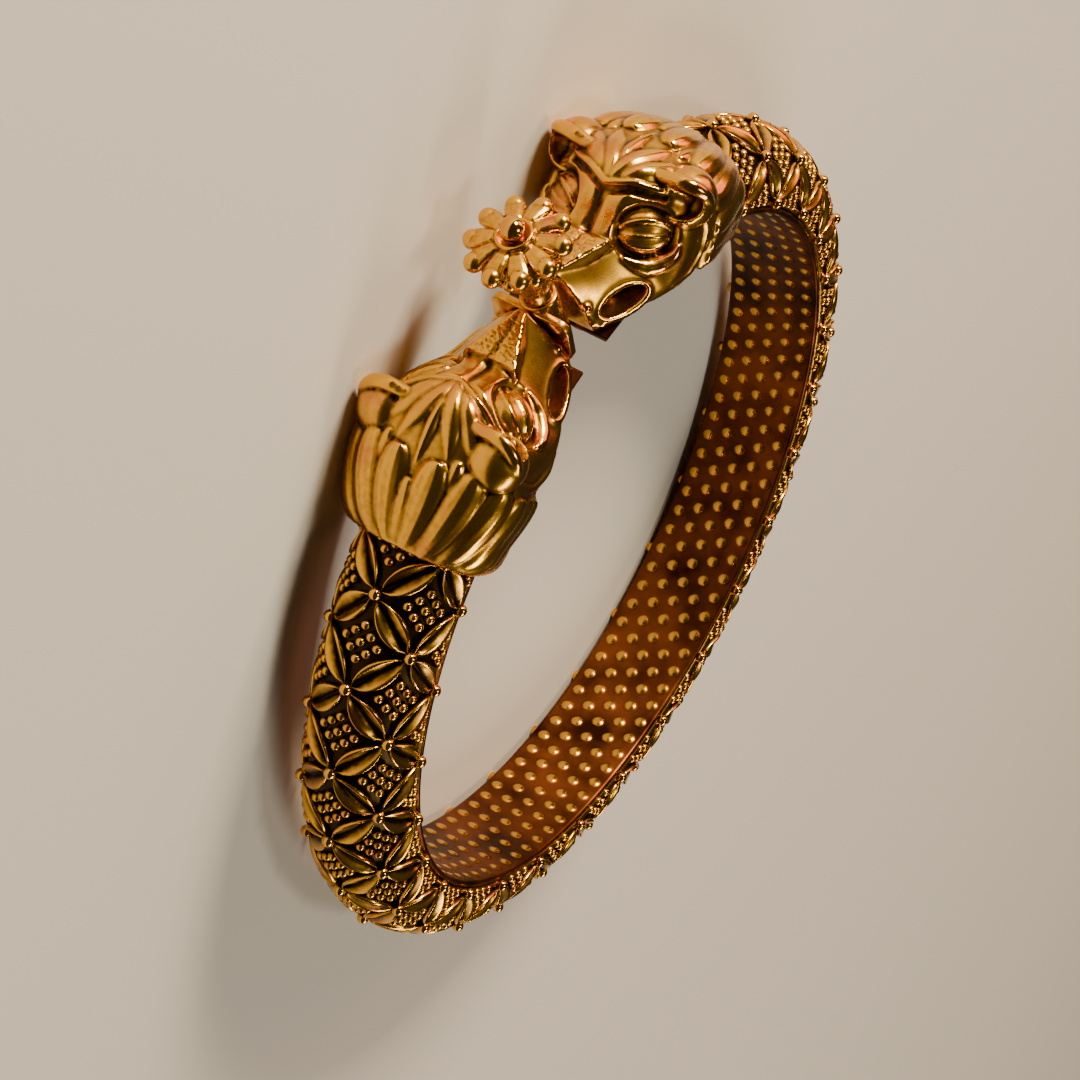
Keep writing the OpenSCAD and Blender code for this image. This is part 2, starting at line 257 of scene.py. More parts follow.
def sweep(bm, rings):
    around, along = len(rings[0]), len(rings) - 1
    grid = bmesh.ops.create_grid(bm, x_segments=around, y_segments=along, size=1)["verts"]
    for vert in grid:
        column = round((vert.co.x + 1) / 2 * around) % around
        row = round((vert.co.y + 1) / 2 * along)
        vert.co = rings[row][column]
    bmesh.ops.remove_doubles(bm, verts=grid, dist=SAME_PLACE_MM)
    grid = [v for v in grid if v.is_valid]
    ends = [e for e in {e for v in grid for e in v.link_edges} if e.is_boundary]
    bmesh.ops.holes_fill(bm, edges=ends, sides=0)
    bmesh.ops.recalc_face_normals(bm, faces=faces_of(grid))


def ring_at(centre, side, up, half_width, half_height, corners):
    turns = [2 * pi * i / corners for i in range(corners)]
    return [centre + side * (half_width * cos(t)) + up * (half_height * sin(t)) for t in turns]


# Past each end of a strip: distance and radius, as shares of the strip's own radius
STRIP_END = [(0.9, 0.0), (0.5, 0.8)]


def tube(bm, path, corners=12):
    """A round strip of wax through (place, radius) pairs."""
    places = [Vector(place) for place, _ in path]
    last = len(path) - 1
    rings = []
    for i, (place, (_, radius)) in enumerate(zip(places, path)):
        along = (places[min(i + 1, last)] - places[max(i - 1, 0)]).normalized()
        up = along.orthogonal() if i == 0 else (up - along * up.dot(along))
        up.normalize()
        side = along.cross(up)
        spots = [(place, radius)]
        if i == 0:
            spots = [(place - along * radius * past, radius * share)
                     for past, share in STRIP_END] + spots
        if i == last:
            spots += [(place + along * radius * past, radius * share)
                      for past, share in reversed(STRIP_END)]
        rings += [ring_at(spot, side, up, size, size, corners) for spot, size in spots]
    sweep(bm, rings)


def smooth_path(points, steps):
    """Points on a smooth curve through a few given ones."""
    points = [Vector(p) for p in points]
    ends = [points[0] * 2 - points[1]] + points + [points[-1] * 2 - points[-2]]
    path = []
    for a, b, c, d in zip(ends, ends[1:], ends[2:], ends[3:]):
        for i in range(steps):
            t = i / steps
            path.append((b * 2 + (c - a) * t + (a * 2 - b * 5 + c * 4 - d) * t ** 2
                         + (b * 3 - a - c * 3 + d) * t ** 3) / 2)
    return path + [points[-1]]


def ball(bm, place, radius, segments=24):
    bmesh.ops.create_uvsphere(bm, u_segments=segments, v_segments=segments * 2 // 3,
                              radius=radius, matrix=Matrix.Translation(place))


print("sweep, tube, smooth_path and ball are ready")

# %% [markdown]
# A casting has no seams between its forms: wax softens every join. Blender's
# voxel remesh does the same. It turns overlapping closed forms into one skin,
# and a few rounds of smoothing take the voxels' steps out of it. The same
# smoothed skin, kept a little longer, shows where the surface is hollow: there
# the smooth one lies above the real one. That measure is the recess attribute.

# %% One skin from overlapping forms
def bake_modifier(mesh, kind, **settings):
    carrier = add_object("carrier", mesh)
    modifier = carrier.modifiers.new("step", kind)
    for name, value in settings.items():
        setattr(modifier, name, value)
    graph = bpy.context.evaluated_depsgraph_get()
    result = bpy.data.meshes.new_from_object(carrier.evaluated_get(graph))
    bpy.data.objects.remove(carrier)
    bpy.data.meshes.remove(mesh)
    return result


def mesh_from(bm, name):
    mesh = bpy.data.meshes.new(name)
    bm.to_mesh(mesh)
    bm.free()
    return mesh


def join(bm, part):
    """Adds a finished part to a larger form, which is faster than growing it there."""
    mesh = mesh_from(part, "part")
    bm.from_mesh(mesh)
    bpy.data.meshes.remove(mesh)


def one_skin(mesh, voxel, smoothing):
    mesh = bake_modifier(mesh, "REMESH", mode="VOXEL", voxel_size=voxel, adaptivity=0)
    return bake_modifier(mesh, "SMOOTH", factor=0.5, iterations=smoothing)


def smoothed(points, edges, rounds):
    count = np.bincount(edges.ravel(), minlength=len(points))[:, None]
    for _ in range(rounds):
        total = np.zeros_like(points)
        np.add.at(total, edges[:, 0], points[edges[:, 1]])
        np.add.at(total, edges[:, 1], points[edges[:, 0]])
        points = (points + total / np.maximum(count, 1)) / 2
    return points


def arrays(mesh):
    """The places and the normals of a mesh's vertices."""
    points = np.empty(len(mesh.vertices) * 3)
    mesh.vertices.foreach_get("co", points)
    normals = np.empty(len(mesh.vertices) * 3)
    mesh.vertex_normals.foreach_get("vector", normals)
    return points.reshape(-1, 3), normals.reshape(-1, 3)


def set_recess(mesh, recess):
    layer = mesh.attributes.new("recess", "FLOAT", "POINT")
    layer.data.foreach_set("value", np.clip(recess, 0, 1).astype(np.float32))


FLAT_RECESS = 0.35


def mark_recesses(mesh, rounds, deepest):
    points, normals = arrays(mesh)
    edges = np.empty(len(mesh.edges) * 2, dtype=np.int32)
    mesh.edges.foreach_get("vertices", edges)
    rise = ((smoothed(points, edges.reshape(-1, 2), rounds) - points) * normals).sum(1)
    set_recess(mesh, FLAT_RECESS + rise / deepest)


print("one_skin and mark_recesses are ready")


# %% [markdown]
# A finished mesh is laid in the library's frame, gets its material, stands for
# its solid and moves with that solid's body. The bodies are the bangle itself,
# the screw's shank and the flower.

# %% A finished piece
def finish_piece(mesh, name, material, node, body):
    mesh.transform(TO_FRAME)
    mesh.name = name
    mesh.materials.clear()
    mesh.materials.append(material)
    mesh.shade_smooth()
    piece = add_object(name, mesh)
    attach(piece, body)
    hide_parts(node)
    print(name, "has", sum(len(f.vertices) - 2 for f in mesh.polygons), "triangles")


# %% [markdown]
# The lion's head is carved round a core. Its table gives, at some angles from
# the clasp, how far out the top lies, the half width, how far out the widest
# place lies, the half width at the foot, how square the upper half is, and at
# which distance the forehead is flattened. Between the rows a smooth curve runs
# through all of them. Turns round the head are counted from the side that is up in
# the photo: 90 degrees is the top and -90 the foot.

# %% The sections of a head
SEAT = 30.6
Section = namedtuple("Section", "angle top wide wide_at foot square flat")
HEAD = [Section(*row) for row in (
    (3.0, 36.2, 3.3, 31.3, 3.2, 1.55, 36.6),
    (5.0, 36.2, 3.9, 31.3, 3.8, 1.60, 36.6),
    (8.0, 36.2, 4.6, 31.3, 4.5, 1.60, 36.4),
    (10.5, 37.0, 5.1, 31.2, 5.0, 1.65, 36.0),
    (12.0, 38.6, 5.5, 31.2, 5.4, 1.80, 36.6),
    (13.4, 39.7, 5.8, 31.3, 5.7, 1.85, 37.6),
    (14.8, 39.9, 6.05, 31.7, 5.9, 1.60, 38.4),
    (16.4, 39.7, 6.3, 32.4, 6.1, 1.30, 38.9),
    (18.0, 39.4, 6.45, 33.3, 6.15, 1.10, 39.3),
    (21.0, 39.1, 6.35, 34.0, 6.05, 0.95, 39.6),
    (25.0, 38.6, 6.2, 33.9, 5.9, 0.92, 39.6),
    (29.0, 37.7, 5.95, 33.6, 5.65, 0.90, 39.0),
    (32.0, 36.9, 5.8, 33.2, 5.5, 0.90, 38.0),
    (33.9, 36.2, 5.0, 32.8, 4.7, 0.90, 37.6),
)]
# How soft the edge of the flattened forehead is
FLAT_EDGE = 0.16
# The angle of the hairline's peak, and how it runs back from there to the sides
HAIR_PEAK, HAIR_SLOPE, HAIR_CURVE = 14.6, 0.35, 0.115
# Steps along and round the head for measuring its slope
NEAR_ANGLE, NEAR_TURN = 0.4, 3


def section(angle):
    angle = min(max(angle, HEAD[0].angle), HEAD[-1].angle)
    i = max(k for k in range(len(HEAD) - 1) if HEAD[k].angle <= angle)
    t = (angle - HEAD[i].angle) / (HEAD[i + 1].angle - HEAD[i].angle)
    before, after = HEAD[max(i - 1, 0)], HEAD[min(i + 2, len(HEAD) - 1)]
    here, there = HEAD[i], HEAD[i + 1]
    values = []
    for k in range(1, len(here)):
        step = there.angle - here.angle
        slope_a = (there[k] - before[k]) / (there.angle - before.angle) * step
        slope_b = (after[k] - here[k]) / (after.angle - here.angle) * step
        values.append((2 * t ** 3 - 3 * t ** 2 + 1) * here[k] + (t ** 3 - 2 * t ** 2 + t) * slope_a
                      + (3 * t ** 2 - 2 * t ** 3) * there[k] + (t ** 3 - t ** 2) * slope_b)
    return Section(angle, *values)


print("the head reaches from", HEAD[0].angle, "to", HEAD[-1].angle, "degrees")

# %% [markdown]
# The skin of the core is a place for every angle and turn. More functions say
# which way it faces there, and which turn belongs to a place on the cheek or on
# the top. The hairline runs from its peak between the ears down to both sides.

# %% The skin of the core
def hairline(side):
    return HAIR_PEAK + HAIR_SLOPE * abs(side) + HAIR_CURVE * side ** 2


def skin(angle, turn, lift=0.0):
    s = section(angle)
    sign = 1 if turn <= 90 else -1
    turn = radians(turn if turn <= 90 else 180 - turn)
    if turn >= 0:
        side = s.wide * cos(turn) ** s.square
        distance = s.wide_at + (s.top - s.wide_at) * sin(turn) ** s.square
        distance -= FLAT_EDGE * log(1 + exp((distance - s.flat) / FLAT_EDGE))
    else:
        side = s.foot + (s.wide - s.foot) * cos(turn)
        distance = s.wide_at + (s.wide_at - SEAT) * sin(turn)
    place = at(angle, distance, sign * side)
    if lift:
        place += skin_normal(angle, degrees(turn) if sign > 0 else 180 - degrees(turn)) * lift
    return place


def skin_normal(angle, turn):
    along = skin(angle + NEAR_ANGLE, turn) - skin(angle - NEAR_ANGLE, turn)
    around = skin(angle, turn + NEAR_TURN) - skin(angle, turn - NEAR_TURN)
    return around.cross(along).normalized()


def cheek(angle, distance):
    """The skin's turn on the side of the head, at a distance from the hole's middle."""
    s = section(angle)
    if distance < s.wide_at:
        return degrees(asin((distance - s.wide_at) / (s.wide_at - SEAT)))
    return degrees(asin(((distance - s.wide_at) / (s.top - s.wide_at)) ** (1 / s.square)))


def over(angle, side):
    """The skin's turn above a distance to the side."""
    s = section(angle)
    return degrees(acos((side / s.wide) ** (1 / s.square)))


print("the forehead is", round((skin(15, 90) - skin(15, 0)).length, 1), "mm high")

# %% [markdown]
# One sweep along the skin makes the core. Behind the hairline it stands a little
# higher than the face, and the mane swells once more before it ends.

# %% The core
# How far the hair stands over the face, the width of that step, and where the hair
# starts on the throat
HAIR_RISE, HAIR_STEP, THROAT_HAIR = 0.45, 0.6, 21.6
END_RISE, END_FROM, END_LENGTH = 0.15, 31.5, 1.5
ANGLE_STEP, TURN_STEP = 0.25, 4
core = bmesh.new()
core_rings = []
for angle in np.arange(HEAD[0].angle, HEAD[-1].angle, ANGLE_STEP):
    towards_end = min(max((angle - END_FROM) / END_LENGTH, 0), 1)
    ring = []
    for turn in np.arange(-90, 271, TURN_STEP):
        edge = hairline(skin(angle, turn).z) if 0 < turn < 180 else THROAT_HAIR
        hair = min(max((angle - edge) / HAIR_STEP, 0), 1)
        ring.append(skin(angle, turn, HAIR_RISE * hair + END_RISE * towards_end))
    core_rings.append(ring)
sweep(core, core_rings)
print("the core has", len(core.verts), "vertices")

# %% [markdown]
# The core still has no face. The nose is a flat triangular plate with sharp
# edges and a narrow facet on each side. It starts as one face of a few corners
# and is extruded down to a wider outline, as a wax plate is pressed on.

# %% The nose plate
NOSE_TOP = 36.3
NOSE_DROP = 0.95
NOSE_FLARE = 0.45
NOSE_MIDDLE, NOSE_FACES = 7.5, 7.0
# Columns: angle from the clasp, distance to the side
NOSE = [(3.15, 0.3), (10.3, 2.2), (9.95, 1.1), (9.85, 0.0), (9.95, -1.1), (10.3, -2.2),
        (3.15, -0.3)]


def nose_plate(bm):
    top = [bm.verts.new(at(angle, NOSE_TOP, side)) for angle, side in NOSE]
    geom = bmesh.ops.extrude_face_region(bm, geom=[bm.faces.new(top)])["geom"]
    low = [v for v in geom if isinstance(v, bmesh.types.BMVert)]
    for vert in low:
        outwards = (vert.co - at(NOSE_MIDDLE, NOSE_TOP, 0)).normalized()
        vert.co += outwards * NOSE_FLARE - at(NOSE_FACES, NOSE_DROP, 0)
    bmesh.ops.recalc_face_normals(bm, faces=faces_of(top + low))


nose_plate(core)
print("the nose plate has", len(NOSE), "corners")

# %% [markdown]
# Lips and the edge of the cheek are strips of wax along the skin. They
# lie on one side of the face only, in a form of their own that is mirrored
# later. Each row says where a strip passes and how thick it is there.

# %% Lips and cheek of one side
# Columns: angle from the clasp, distance from the middle, distance to the side, radius
LIP_LUMPS = [(3.6, 31.5, 3.0, 0.5), (4.4, 31.3, 3.5, 0.5), (3.5, 33.0, 2.6, 0.45)]
# Columns: angle from the clasp, distance from the middle, radius
CHEEK_EDGE = [(20.3, 37.2, 0.15), (21.3, 35.6, 0.32), (21.7, 34.2, 0.38), (21.0, 32.6, 0.38),
              (18.4, 31.6, 0.34), (15.2, 31.2, 0.15)]
MOUTH_AT, MOUTH_DISTANCE = 8.0, 32.05
MOUTH_LENGTH, MOUTH_HEIGHT = 4.1, 1.75
# The lip's steps, where it starts, how far outside the mouth's edge it lies, its radius
# and how much thinner its upper side is
LIP_STEPS, LIP_FROM, LIP_OUTSIDE = 28, 100, 0.12
LIP_R, LIP_THINNER = 0.25, 0.13


def strip(bm, rows, steps=6):
    places = smooth_path([at(*row[:3]) for row in rows], steps)
    radii = np.interp(np.linspace(0, len(rows) - 1, len(places)), range(len(rows)),
                      [row[3] for row in rows])
    tube(bm, list(zip(places, radii)))


def cheek_strip(bm, rows):
    strip(bm, [(*place_of(skin(a, cheek(a, d))), r) for a, d, r in rows])


def mouth_edge(turn, grow=0.0):
    angle = MOUTH_AT + degrees((MOUTH_LENGTH / 2 + grow) * cos(turn) / MOUTH_DISTANCE)
    distance = MOUTH_DISTANCE + (MOUTH_HEIGHT / 2 + grow) * sin(turn)
    return skin(angle, cheek(angle, distance))


face_side = bmesh.new()
for angle, distance, side, radius in LIP_LUMPS:
    ball(face_side, at(angle, distance, side), radius)
lips = []
for i in range(LIP_STEPS + 1):
    turn = radians(LIP_FROM + i * 360 / LIP_STEPS)
    lips.append((mouth_edge(turn, LIP_OUTSIDE), LIP_R - LIP_THINNER * sin(turn)))
tube(face_side, lips)
cheek_strip(face_side, CHEEK_EDGE)
print("one side of the face has", len(face_side.verts), "vertices")

# %% [markdown]
# The first remesh joins core, plate and strips. After that the hollows are
# pressed in, as with a ball-ended tool: every vertex above the bowl moves
# inwards until it lies on the bowl. The orbits, the mouth's corners and the dip
# between the brows are made so, and fine grooves are drawn along a path.

# %% Pressing hollows into the skin
BOWL_REACH = 1.5
DENT_REACH_MM, DENT_SLOPE = 3.0, 1.5


def under_tool(points, centre, inward, along, radii):
    """Each point's depth and its spread beside the tool, and the way in."""
    inward = Vector(inward).normalized()
    along = (Vector(along) - inward * Vector(along).dot(inward)).normalized()
    across = inward.cross(along)
    local = points - np.array(centre)
    spread = (local @ np.array(along) / radii[0]) ** 2 + (local @ np.array(across) / radii[1]) ** 2
    return local @ np.array(inward), spread, np.array(inward)


def press_bowl(points, centre, inward, along, radii):
    depth, spread, way_in = under_tool(points, centre, inward, along, radii)
    bowl = radii[2] * np.sqrt(np.clip(1 - spread, 0, 1))
    near = (spread < 1) & (depth > -radii[2] * BOWL_REACH) & (depth < bowl)
    return points + np.outer(np.where(near, bowl - depth, 0), way_in)


def press_dent(points, centre, inward, along, radii):
    """A soft dent: flat in its middle, with no edge."""
    depth, spread, way_in = under_tool(points, centre, inward, along, radii)
    spread += (depth / DENT_REACH_MM) ** 2
    return points + np.outer(radii[2] * np.clip(1 - spread ** 2, 0, 1) ** DENT_SLOPE, way_in)


def draw_groove(points, normals, path, width, depth):
    path = np.array([tuple(p) for p in path])
    nearest = np.full(len(points), np.inf)
    for a, b in zip(path, path[1:]):
        share = np.clip(((points - a) @ (b - a)) / ((b - a) @ (b - a)), 0, 1)
        nearest = np.minimum(nearest, np.linalg.norm(points - a - np.outer(share, b - a), axis=1))
    return points - normals * (depth * np.exp(-(nearest / width) ** 2))[:, None]


print("a bowl reaches", BOWL_REACH, "of its depths over the skin")

# %% [markdown]
# The tools need to know where the eye and the mouth are and which way they face.
# The eye looks at the clasp, a little outwards and to its own side.

# %% Where the eye and the mouth are
def directions(angle):
    """Away from the clasp, outwards and to the side, at an angle."""
    turn = radians(angle)
    return Vector((cos(turn), sin(turn), 0)), Vector((sin(turn), -cos(turn), 0)), Vector((0, 0, 1))


def blend(axes, shares):
    return axes[0] * shares[0] + axes[1] * shares[1] + axes[2] * shares[2]


EYE_ANGLE, EYE_DISTANCE, EYE_SIDE = 14.4, 35.6, 3.65
EYE_RADII = (1.9, 1.65, 1.2)
EYE_SUNK = 0.55
# Shares away from the clasp, outwards and to the side
EYE_FORWARD, EYE_UP = (-0.60, 0.50, 0.62), (0.47, 0.85, -0.22)
eye_forward = blend(directions(EYE_ANGLE), EYE_FORWARD).normalized()
eye_up = blend(directions(EYE_ANGLE), EYE_UP)
eye_up = (eye_up - eye_forward * eye_up.dot(eye_forward)).normalized()
eye_along = eye_forward.cross(eye_up)
eye_place = at(EYE_ANGLE, EYE_DISTANCE, EYE_SIDE)
eye_centre = eye_place - eye_forward * EYE_SUNK
ORBIT_RADII = (2.75, 2.4, 1.05)
MOUTH_DEPTH, MOUTH_INSIDE = 2.0, 0.1
FOREHEAD_DIP = [at(a, d, 0) for a, d in [(10.8, 36.0), (12.2, 36.6), (13.4, 37.6), (14.6, 38.4)]]

mouth_middle = skin(MOUTH_AT, cheek(MOUTH_AT, MOUTH_DISTANCE))
mouth_out = skin_normal(MOUTH_AT, cheek(MOUTH_AT, MOUTH_DISTANCE))
mouth_along = (mouth_edge(0) - mouth_edge(pi)) / 2
print("the mouth is", round(2 * mouth_along.length, 1), "mm long")

# %% [markdown]
# Both sides of the face are pressed in turn. Then the form is complete enough for
# its small parts to be laid on it.

# %% The pressed face
# Columns: width, depth
FOREHEAD_GROOVE = (0.35, 0.35)
HAIR_GROOVE = (0.30, 0.32)
AHEAD_OF_HAIR = 0.3
GROOVE_SIDES = np.arange(0.15, 4.2, 0.3)


def to_other_side(vector):
    return Vector((vector[0], vector[1], -vector[2]))


def press_face(mesh):
    points, normals = arrays(mesh)
    points = draw_groove(points, normals, FOREHEAD_DIP, *FOREHEAD_GROOVE)
    hair_groove = []
    for side in GROOVE_SIDES:
        angle = hairline(side) - AHEAD_OF_HAIR
        hair_groove.append(skin(angle, over(angle, side)))
    mouth_radii = (mouth_along.length - MOUTH_INSIDE, MOUTH_HEIGHT / 2 - MOUTH_INSIDE, MOUTH_DEPTH)
    for flip in (Vector, to_other_side):
        points = press_dent(points, flip(eye_place), flip(-eye_forward), flip(eye_along),
                            ORBIT_RADII)
        points = press_bowl(points, flip(mouth_middle), flip(-mouth_out), flip(mouth_along),
                            mouth_radii)
        points = draw_groove(points, normals, [flip(p) for p in hair_groove], *HAIR_GROOVE)
    mesh.vertices.foreach_set("co", points.ravel())
    mesh.update()


def mirror_sides(bm):
    bmesh.ops.mirror(bm, geom=bm.verts[:] + bm.edges[:] + bm.faces[:], axis="Z", merge_dist=-1)
    bmesh.ops.recalc_face_normals(bm, faces=bm.faces[:])


mirror_sides(face_side)
join(core, face_side)
CORE_VOXEL, CORE_SMOOTHING = 0.14, 2
core_mesh = one_skin(mesh_from(core, "core"), CORE_VOXEL, CORE_SMOOTHING)
press_face(core_mesh)
print("the pressed core has", len(core_mesh.vertices), "vertices")

# %% [markdown]
# Each eye is a flattened ball with two lids. A lid is a slightly larger ball,
# cut off by a plane through the ball's middle that turns about the slit, with a
# thin roll of wax along its edge. A thick fold hangs under the eye.

# %% The eyes
# Columns: size against the ball's, angle of the plane that cuts it, whether it is upper
LIDS = [(1.12, 36, True), (1.07, -3, False)]
FROM_CORNER_TO_CORNER = range(8, 173, 12)
# A roll's radius in the eye's corners, as a share of the full one
CORNER_SHARE = 0.5
EYE_SEGMENTS = (48, 32)
# Columns: angle of the plane it lies in, size, radius
LID_ROLLS = [(37, 1.09, 0.20), (-4, 1.03, 0.13), (-34, 1.08, 0.17)]
# Columns: angle from the clasp, distance from the middle, radius
FOLD = [(11.0, 34.4, 0.25), (11.8, 33.8, 0.50), (12.9, 33.35, 0.70), (14.4, 33.35, 0.70),
        (15.8, 33.8, 0.52), (16.6, 34.4, 0.25)]


def ellipsoid(bm, axes, radii, centre, segments, size=1):
    """A ball stretched along three axes."""
    shape = Matrix([axis * radius for axis, radius in zip(axes, radii)])
    shape = shape.transposed().to_4x4() @ Matrix.Scale(size, 4)
    shape.translation = centre
    return bmesh.ops.create_uvsphere(bm, u_segments=segments[0], v_segments=segments[1],
                                     radius=1, matrix=shape)["verts"]


def eyeball(bm, size):
    return ellipsoid(bm, (eye_along, eye_up, eye_forward), EYE_RADII, eye_centre, EYE_SEGMENTS,
                     size)


def lid(bm, size, angle, upper):
    verts = eyeball(bm, size)
    turn = radians(angle)
    normal = (eye_up * cos(turn) - eye_forward * sin(turn)) * (1 if upper else -1)
    geom = verts[:] + list({e for v in verts for e in v.link_edges}) + faces_of(verts)
    cut = bmesh.ops.bisect_plane(bm, geom=geom, plane_co=eye_centre, plane_no=normal,
                                 clear_inner=True)["geom_cut"]
    bmesh.ops.holes_fill(bm, edges=[e for e in cut if isinstance(e, bmesh.types.BMEdge)], sides=0)


def lid_roll(bm, angle, size, radius):
    turn = radians(angle)
    over_front = eye_forward * (EYE_RADII[2] * cos(turn)) + eye_up * (EYE_RADII[1] * sin(turn))
    path = []
    for step in FROM_CORNER_TO_CORNER:
        place = eye_along * (EYE_RADII[0] * cos(radians(step))) + over_front * sin(radians(step))
        share = CORNER_SHARE + (1 - CORNER_SHARE) * sin(radians(step))
        path.append((eye_centre + place * size, radius * share))
    tube(bm, path, 10)


details = bmesh.new()
eyeball(details, 1)
for row in LIDS:
    lid(details, *row)
for row in LID_ROLLS:
    lid_roll(details, *row)
cheek_strip(details, FOLD)
print("eyes made, details now have", len(details.verts), "vertices")

# %% [markdown]
# An ear is a thick dome with a bowl pressed into its front, and a heavy rim
# laid round the bowl that curls in at its inner end. The rim is the brightest
# line on the head, because it catches the light from above.

# %% The ears
EAR_ANGLE, EAR_DISTANCE, EAR_SIDE = 20.5, 37.0, 4.7
EAR_RADII = (2.35, 2.4, 2.35)
# Columns: angle from the clasp, distance from the middle, distance to the side, radius
EAR_RIM = [(17.7, 39.2, 1.6, 0.22), (18.0, 39.15, 2.1, 0.38), (18.3, 39.1, 2.8, 0.48),
           (18.4, 39.2, 3.7, 0.56), (18.4, 39.35, 4.7, 0.60), (18.8, 39.15, 5.75, 0.58),
           (19.6, 38.5, 6.45, 0.50), (20.4, 37.6, 6.7, 0.38), (20.9, 36.5, 6.7, 0.24)]
EAR_SEGMENTS = (56, 40)
EAR_OPENING = (-0.85, 0.35, 0.35)
EAR_HOLLOW_RADII = (1.9, 1.35, 1.5)
HOLLOW_AHEAD, HOLLOW_OUT, HOLLOW_ASIDE = 1.7, 0.75, 0.2
away, outwards, sideways = ear_axes = directions(EAR_ANGLE)
ear_centre = at(EAR_ANGLE, EAR_DISTANCE, EAR_SIDE)
ear_opening = blend(ear_axes, EAR_OPENING).normalized()
hollow_centre = (ear_centre - away * HOLLOW_AHEAD + outwards * HOLLOW_OUT
                 + sideways * HOLLOW_ASIDE)


def ear(bm):
    verts = ellipsoid(bm, ear_axes, EAR_RADII, ear_centre, EAR_SEGMENTS)
    points = np.array([tuple(v.co) for v in verts])
    points = press_bowl(points, hollow_centre, -ear_opening, sideways, EAR_HOLLOW_RADII)
    for vert, point in zip(verts, points):
        vert.co = point
    bmesh.ops.recalc_face_normals(bm, faces=faces_of(verts))
    strip(bm, EAR_RIM, 5)


ear(details)
print("ears made, details now have", len(details.verts), "vertices")

# %% [markdown]
# The mane is made of leaf-shaped locks with a crest along their middle. A tuft
# of pointed ones fans out from the peak of the hairline. Behind it lie long
# ones with a round front that stands up and a tail that tapers over the start
# of the hoop. Each lock follows a short curve on the skin of the core.

# %% The mane
# Columns: start, middle and end, each an angle from the clasp and a turn round the
# head, then half width and height
TUFT = [
    ((15.1, 86.0), (18.6, 80.0), (23.0, 72.0), 1.00, 0.60),
    ((15.7, 77.0), (18.6, 66.0), (22.2, 56.0), 0.95, 0.55),
]
CENTRE_TUFT = ((17.0, 90.0), (20.5, 90.0), (24.8, 90.0), 0.55, 0.60)
MANE = [
    ((23.2, 77.0), (28.0, 76.0), (33.6, 84.5), 1.55, 0.85),
    ((22.8, 51.0), (28.0, 50.0), (33.5, 70.0), 1.60, 0.85),
    ((22.8, 26.0), (28.0, 25.0), (33.4, 52.0), 1.60, 0.85),
    ((22.8, 1.0), (28.0, 2.0), (33.2, 30.0), 1.60, 0.70),
    ((22.4, -22.0), (27.5, -20.0), (33.0, 4.0), 1.50, 0.62),
    ((22.2, -46.0), (27.0, -43.0), (32.5, -20.0), 1.50, 0.55),
]
UNDER_MANE = [
    ((22.3, 65.0), (24.6, 64.0), (27.5, 66.0), 0.70, 0.50),
    ((26.4, 64.0), (30.5, 62.0), (33.7, 77.0), 0.90, 0.50),
    ((26.4, 38.0), (30.5, 38.0), (33.6, 61.0), 0.90, 0.50),
    ((26.4, 13.0), (30.5, 13.0), (33.5, 41.0), 0.90, 0.45),
    ((26.2, -11.0), (30.0, -9.0), (33.2, 17.0), 0.90, 0.40),
]
CENTRE_UNDER = ((26.0, 90.0), (30.0, 90.0), (33.8, 90.0), 0.95, 0.60)
# The rolled edge of the hair lies a little behind the hairline and thins to the sides
BEHIND_HAIRLINE, HAIR_EDGE_SUNK = 0.35, 0.05
HAIR_EDGE_R, HAIR_EDGE_TAPER = 0.30, 0.02
HAIR_EDGE_SIDES = np.arange(0.0, 3.9, 0.3)
LOCK_STEPS, LOCK_CORNERS = 18, 14
LOCK_LIFT, LOCK_ROOT, LOCK_CREST = HAIR_RISE * 0.6, 0.5, 2.4
# A lock's front starts with a little of the swelling, and no end is thinner than this
LOCK_START, LOCK_THINNEST = 0.02, 0.04
LOCK_RISES, LOCK_FRONT = 0.6, 1.1
LOOK_AHEAD = 0.05
# Where the lock is widest, how much of the swelling it uses, how blunt it is, and how
# much lower its tail is
LockForm = namedtuple("LockForm", "peak used blunt fall")
POINTED = LockForm(0.80, 0.96, 0.7, 0.30)
ROUND_FRONT = LockForm(0.62, 0.82, 0.6, 0.45)


def lock(bm, row, form):
    start, middle, end, half_width, full_height = row
    rings = []
    for i in range(LOCK_STEPS + 1):
        t = i / LOCK_STEPS
        spot = [(1 - t) ** 2 * a + 2 * t * (1 - t) * b + t ** 2 * c
                for a, b, c in zip(start, middle, end)]
        ahead = [(1 - t) * (b - a) + t * (c - b) for a, b, c in zip(start, middle, end)]
        centre = skin(*spot, LOCK_LIFT)
        next_spot = [a + b * LOOK_AHEAD for a, b in zip(spot, ahead)]
        along = (skin(*next_spot, LOCK_LIFT) - centre).normalized()
        normal = skin_normal(*spot)
        side = normal.cross(along).normalized()
        swell = max(sin(pi * (LOCK_START + form.used * t) ** form.peak), 0) ** form.blunt
        width = max(half_width * swell, LOCK_THINNEST)
        height = full_height * swell ** LOCK_RISES * (LOCK_FRONT - form.fall * t)
        ring = []
        for k in range(LOCK_CORNERS):
            turn = 2 * pi * k / LOCK_CORNERS
            rise = height * (1 - abs(cos(turn)) ** LOCK_CREST)
            if sin(turn) <= 0:
                rise = LOCK_ROOT * sin(turn)
            ring.append(centre + side * (width * cos(turn)) + normal * rise)
        rings.append(ring)
    sweep(bm, rings)


